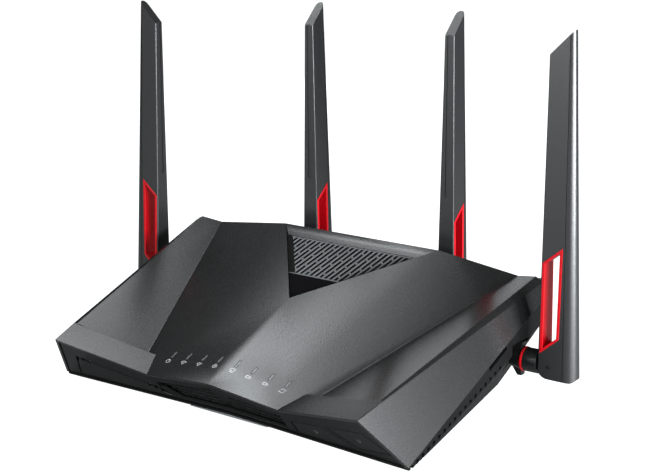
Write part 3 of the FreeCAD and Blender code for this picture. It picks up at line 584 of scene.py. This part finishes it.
# %% Vent ribs
VENT_APEX, VENT_SLOPE, VENT_Z, VENT_RISE = 86.7, 1.271, 39.3, 0.29
MARGIN, RIB_DEPTH, RIB_THICK, RIB_WIDE = 5.0, 0.1, 0.7, 1.4
RIB_PITCH, RIB_TURN, RIB_MIDDLE = 4.2, radians(84.5), 138.0
BRIDGE_STEP, BRIDGE_STAGGER, BRIDGE_SLANT, BRIDGE_FIRST = 19.0, 6.3, 2.3, 16.55
GRILLE_FRONT, GRILLE_BACK, RIB_REACH, RIM_WIDE = 118.6, 161.6, 28, 0.9
DOWN_SLOPE = hypot(1, VENT_RISE)


def vent_half(y, margin):
    """Half-width of the vent at depth y, less a margin measured square to its walls."""
    return (y - VENT_APEX - margin * hypot(1, VENT_SLOPE)) / VENT_SLOPE


def vent_plane(x, y, depth):
    return at(x, y, VENT_Z + VENT_RISE * y - depth)


def on_rib(number, reach):
    """A point of the rib to the right of gap number, reach millimetres back from the middle."""
    x = (number + 0.5) * RIB_PITCH + reach * cos(RIB_TURN)
    return (x, (RIB_MIDDLE + reach * sin(RIB_TURN)) * DOWN_SLOPE)


def trimmed(shape, point, outward):
    bmesh.ops.bisect_plane(
        shape, geom=shape.verts[:] + shape.edges[:] + shape.faces[:], dist=0.0001 * MM,
        plane_co=point, plane_no=outward, clear_outer=True,
    )
    bmesh.ops.holes_fill(shape, edges=[e for e in shape.edges if e.is_boundary])


grille_plane = drawing_plane(vent_plane(0, 0, RIB_DEPTH + RIB_THICK), (1, 0, 0), (0, 1, VENT_RISE))
ribs = bmesh.new()
for number in range(-16, 17):
    front, back = on_rib(number, -RIB_REACH), on_rib(number, RIB_REACH)
    bar(ribs, grille_plane, front, back, RIB_WIDE, RIB_THICK)
    for step in range(-3, 4):
        reach = step * BRIDGE_STEP + BRIDGE_STAGGER * (number % 3) + BRIDGE_FIRST
        left, right = on_rib(number - 1, reach + BRIDGE_SLANT), on_rib(number, reach)
        bar(ribs, grille_plane, left, right, RIB_WIDE, RIB_THICK)
for side in (-1, 1):
    trimmed(ribs, at(side * vent_half(150, MARGIN), 150, 0), (side * VENT_SLOPE, -1, 0))
trimmed(ribs, at(0, GRILLE_FRONT, 0), (0, -1, 0))
trimmed(ribs, at(0, GRILLE_BACK, 0), (0, 1, 0))
for y in (GRILLE_FRONT, GRILLE_BACK):
    half = vent_half(y, MARGIN)
    left, right = (-half, y * DOWN_SLOPE), (half, y * DOWN_SLOPE)
    bar(ribs, grille_plane, left, right, RIM_WIDE, RIB_THICK)
bmesh.ops.recalc_face_normals(ribs, faces=ribs.faces)
round_edges(ribs, sharp_edges(ribs, 40), 0.15, segments=1)
add_piece("vent_ribs", ribs, "case", "vent_grey", ["vent_mesh"])
print("vent margin", MARGIN, "mm wide")

# %% [markdown]
# The margin itself is a pair of black strips, one along each wall: painted shade standing in for
# the shaded walls of the recess beside the ribs.

# %% Vent margin
def sheet(corners, shift):
    """A flat plate: one outline face, extruded by shift."""
    shape = bmesh.new()
    face = shape.faces.new([shape.verts.new(corner) for corner in corners])
    grown = bmesh.ops.extrude_face_region(shape, geom=[face])["geom"]
    moved = [v for v in grown if isinstance(v, bmesh.types.BMVert)]
    bmesh.ops.translate(shape, verts=moved, vec=shift)
    bmesh.ops.recalc_face_normals(shape, faces=shape.faces)
    return shape


STRIP_FRONT, STRIP_BACK, STRIP_DEPTH, STRIP_THICK = 118.0, 162.8, 0.3, 1.4
STRIP_WALL, STRIP_RIBS = 0.5, MARGIN - 0.05
# A flat black finish for painted shade: sheets put where only shade is, in the vent's margin and
# under its ribs.
painted_shade = moulded(
    "black screen foam", (0.003, 0.003, 0.003), 0.9, pitch=900.0, depth=0.0002, wear=0.0,
    specular=0.1,
)
outline = [
    (STRIP_FRONT, STRIP_WALL), (STRIP_FRONT, STRIP_RIBS),
    (STRIP_BACK, STRIP_RIBS), (STRIP_BACK, STRIP_WALL),
]
# Each strip is painted shade along one wall of the vent.
for side, word in ((-1, "left"), (1, "right")):
    corners = [vent_plane(side * vent_half(y, edge), y, STRIP_DEPTH) for y, edge in outline]
    strip = sheet(corners, Vector((0, 0, -STRIP_THICK * MM)))
    add_piece("painted_shade_strip_" + word, strip, "case", "frame_black", finish=painted_shade)
print("two margin strips")

# %% [markdown]
# A black sheet lies under the ribs so that nothing of the board shows between them: painted shade
# standing in for the dark inside of the case. It is one flat sheet in the opening of the cover's
# ledge. A thin ledge crosses the vent where the grille meets the polished panel in its tip; its
# light grey is a painted highlight along the panel's edge.

# %% Painted-shade sheet and highlight ledge
SCREEN_FRONT, SCREEN_BACK, SCREEN_MARGIN, SCREEN_DEPTH, SCREEN_THICK = 121, 158.5, 3.4, 3.2, 0.6
LEDGE_BACK, LEDGE_MARGIN, LEDGE_WIDE, LEDGE_TALL = 117.2, 0.6, 0.5, 0.45
front, back = vent_half(SCREEN_FRONT, SCREEN_MARGIN), vent_half(SCREEN_BACK, SCREEN_MARGIN)
outline = [
    (-front, SCREEN_FRONT), (front, SCREEN_FRONT), (back, SCREEN_BACK), (-back, SCREEN_BACK),
]
corners = [vent_plane(x, y, SCREEN_DEPTH) for x, y in outline]
# The sheet is painted shade: black where the shaded inside of the case would show.
screen = sheet(corners, Vector((0, 0, -SCREEN_THICK * MM)))
add_piece("painted_shade_screen", screen, "case", "frame_black", finish=painted_shade)
# The ledge is a thin raised bar; its light grey is a painted highlight along the edge of the
# polished panel.
ledge = bmesh.new()
across = vent_half(LEDGE_BACK, LEDGE_MARGIN)
ledge_plane = drawing_plane(vent_plane(0, LEDGE_BACK, 0), (1, 0, 0), (0, 1, VENT_RISE))
bar(ledge, ledge_plane, (-across, 0), (across, 0), LEDGE_WIDE, LEDGE_TALL)
add_piece("badge_highlight_ledge", ledge, "case", "vent_grey")
print("screen", round(2 * back, 1), "mm wide at the back")

# %% [markdown]
# Each status light is a milky bar in a slot, with a small printed sign in front of it. The signs
# are plain pictures without letters: power, two radio signs, a globe, a wired socket, two
# storage sticks and a pairing loop. Pad printing leaves a film about a twentieth of a
# millimetre thick, so each sign is built of very low bars.

# %% Signs
INK = 0.05
THIN = 0.45


def power_sign(shape, plane):
    arc(shape, plane, (0, 0), 1.6, 125, 415, THIN, INK, 12)
    bar(shape, plane, (0, 0.7), (0, 1.9), THIN, INK)


def radio_sign(shape, plane):
    for radius in (1.0, 2.0, 3.0):
        arc(shape, plane, (0, -1.6), radius, 48, 132, THIN, INK, 6)
    bar(shape, plane, (-0.1, -1.5), (0.1, -1.5), 0.5, INK)


def globe_sign(shape, plane):
    arc(shape, plane, (0, 0), 1.7, 0, 360, THIN, INK, 14)
    bar(shape, plane, (-1.6, 0), (1.6, 0), 0.3, INK)
    bar(shape, plane, (0, -1.6), (0, 1.6), 0.3, INK)


def socket_sign(shape, plane):
    corners = [(-1.7, -0.4), (1.7, -0.4), (1.7, 1.7), (-1.7, 1.7), (-1.7, -0.4)]
    for a, b in zip(corners, corners[1:]):
        bar(shape, plane, a, b, THIN, INK)
    bar(shape, plane, (0, -0.6), (0, -1.5), THIN, INK)
    bar(shape, plane, (-1.3, -1.6), (1.3, -1.6), THIN, INK)


def stick_sign(shape, plane):
    corners = [(-2.0, -0.9), (0.8, -0.9), (0.8, 0.9), (-2.0, 0.9), (-2.0, -0.9)]
    for a, b in zip(corners, corners[1:]):
        bar(shape, plane, a, b, THIN, INK)
    bar(shape, plane, (1.0, 0.5), (2.0, 0.5), 0.3, INK)
    bar(shape, plane, (1.0, -0.5), (2.0, -0.5), 0.3, INK)


def loop_sign(shape, plane):
    for start in (20, 200):
        arc(shape, plane, (0, 0), 1.6, start, start + 130, THIN, INK, 6)
    bar(shape, plane, (1.5, 0.6), (2.1, 1.3), THIN, INK)
    bar(shape, plane, (-1.5, -0.6), (-2.1, -1.3), THIN, INK)


SIGNS = [
    power_sign, radio_sign, radio_sign, globe_sign, socket_sign, stick_sign, stick_sign, loop_sign,
]
print(len(SIGNS), "signs")

# %% [markdown]
# The signs lie on the two centre facets, which fall away from the ridge to either side.

# %% Signs on the cover
LIGHTS_X = (-47.7, -34.3, -20.8, -7.3, 7.3, 20.8, 34.3, 47.7)
SIGNS_BACK = 14.4
RIDGE_Z, RIDGE_RISE, CENTRE_FALL = 32.4, 0.395, 0.125


def roof_plane(x, y):
    fall = -CENTRE_FALL if x > 0 else CENTRE_FALL
    place = at(x, y, RIDGE_Z - CENTRE_FALL * abs(x) + RIDGE_RISE * y)
    return drawing_plane(place, (1, 0, fall), (0, 1, RIDGE_RISE))


print_white = moulded("pale pad print", (0.75, 0.76, 0.77), 0.5, wear=0.0, depth=0.0)
marks = bmesh.new()
for x, sign in zip(LIGHTS_X, SIGNS):
    sign(marks, roof_plane(x, SIGNS_BACK))
add_piece("light_signs", marks, "case", "lens_white", finish=print_white)
print("signs at", LIGHTS_X)

# %% [markdown]
# The two front buttons carry a radio sign and a lamp sign in dark grey. The front face is
# undercut, so its drawing plane leans forward at the top.

# %% Signs on the front buttons
UNDERCUT_X, UNDERCUT_Z, LIP_BEND, LIP_Z = -0.046, -0.793, 54.3, 25.4


def front_plane(x, z, sink):
    y = UNDERCUT_X * (x - LIP_BEND) + UNDERCUT_Z * (z - LIP_Z)
    out = Vector((UNDERCUT_X, -1, UNDERCUT_Z)).normalized()
    return drawing_plane(at(x, y, z) - out * sink * MM, (1, UNDERCUT_X, 0), (0, UNDERCUT_Z, 1))


def lamp_sign(shape, plane):
    arc(shape, plane, (0, 0.4), 1.3, -50, 230, THIN, INK, 10)
    bar(shape, plane, (-0.6, -1.3), (0.6, -1.3), THIN, INK)


print_grey = moulded("grey pad print", (0.11, 0.11, 0.115), 0.5, wear=0.0, depth=0.0)
BUTTON_SINK = 0.9
BUTTON_SIGNS = (("wifi_button", radio_sign, 77, 12.5), ("led_button", lamp_sign, 112.5, 17.0))
for body, sign, x, z in BUTTON_SIGNS:
    marks = bmesh.new()
    sign(marks, front_plane(x, z, BUTTON_SINK))
    add_piece(body + "_sign", marks, body, "lens_white", finish=print_grey)
print(len(BUTTON_SIGNS), "button signs")

# %% [markdown]
# In the network sockets eight gilded spring wires lean from the back of each cavity towards its
# mouth, on the side away from the latch. The tongue of each memory-stick port is plastic, not
# steel, so a thin sleeve of black plastic covers it.

# %% Contacts and tongues
BOARD_TOP = 11.6
LAN_LEFT, LAN_PITCH, WAN_X, LOWER_ROW, UPPER_ROW = -45.0, 14.25, 23.5, 3.4, 15.6
WIRE_PITCH, WIRE_BACK, WIRE_RUN = 1.02, 164, 8.0
WIRE_SIZE = Matrix.Diagonal((0.4 * MM, 8.3 * MM, 0.3 * MM, 1))
SOCKETS = [
    (LAN_LEFT + LAN_PITCH * (i + 0.5), BOARD_TOP + low, up)
    for i in range(4) for low, up in ((LOWER_ROW, 1), (UPPER_ROW, -1))
]
SOCKETS.append((WAN_X, BOARD_TOP + LOWER_ROW, 1))
wires = bmesh.new()
for x, z, up in SOCKETS:
    root, tip = (z + 7.2, z + 4.9) if up > 0 else (z + 0.4, z + 2.7)
    turn = Matrix.Rotation(atan2(tip - root, WIRE_RUN), 4, "X")
    for k in range(8):
        middle = Matrix.Translation(at(x + (k - 3.5) * WIRE_PITCH, WIRE_BACK, (root + tip) / 2))
        bmesh.ops.create_cube(wires, size=1.0, matrix=middle @ turn @ WIRE_SIZE)
add_piece("socket_contacts", wires, "case", "brass_gold")
TONGUE_WIDE, TONGUE_TALL, TONGUE_UP = 11.1, 1.45, 1.4
for word, x, low, high in (("front", -88.0, 16.5, 30.0), ("rear", -86.5, 156.5, 170.7)):
    tongue = bmesh.new()
    size = Matrix.Diagonal((TONGUE_WIDE * MM, (high - low) * MM, TONGUE_TALL * MM, 1))
    middle = at(x, (low + high) / 2, BOARD_TOP + TONGUE_UP)
    bmesh.ops.create_cube(tongue, size=1.0, matrix=Matrix.Translation(middle) @ size)
    round_edges(tongue, tongue.edges[:], 0.15)
    add_piece(word + "_port_tongue", tongue, "case", "jack_blue")
print(len(SOCKETS), "sockets wired")

# %% [markdown]
# The antennas are satin mouldings. The blades have their radii in the solid itself, and the fine
# seam and groove in them stay crisp, so only the parts of the joints are softened here. The pins
# are blackened steel, so that they nearly vanish in the foot; everything else keeps the finish of
# its slot.

# %% Softened antennas
ANTENNAS = ("left", "back_left", "back_right", "right")
ANTENNA_EDGES = {"barrel": 0.5, "nut": 0.4, "ring": 0.25, "bezel": 0.25, "pin": 0.25}
blackened = plated("blackened steel", (0.06, 0.06, 0.062), 0.35)
for antenna in ANTENNAS:
    for part, width in ANTENNA_EDGES.items():
        piece = softened("antenna_" + antenna + "_" + part, width, angle=30)
        if part == "pin":
            piece.data.materials[0] = blackened
    print(antenna, "antenna softened")

# %% [markdown]
# Under the case, between the feet, sits a blank pale rating label: a rounded sheet of foil with
# nothing printed on it.

# %% Blank label
LABEL_HALF, LABEL_FRONT, LABEL_BACK, LABEL_Z = 34, 18, 52, 2.58
LABEL_THICK, LABEL_CORNER = 0.1, 3.0
outline = [
    (-LABEL_HALF, LABEL_FRONT), (LABEL_HALF, LABEL_FRONT),
    (LABEL_HALF, LABEL_BACK), (-LABEL_HALF, LABEL_BACK),
]
label = sheet([at(x, y, LABEL_Z) for x, y in outline], Vector((0, 0, -LABEL_THICK * MM)))
corner_edges = [
    e for e in label.edges if abs(e.verts[0].co.z - e.verts[1].co.z) > LABEL_THICK / 2 * MM
]
round_edges(label, corner_edges, LABEL_CORNER, segments=5)
foil = moulded("pale label foil", (0.55, 0.56, 0.57), 0.4, wear=0.0)
add_piece("blank_label", label, "case", "lens_white", finish=foil)
print("label", len(corner_edges), "corners rounded")

# %% Sizes
low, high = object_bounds()
print("visual box", [round(v, 4) for v in (*low, *high)])
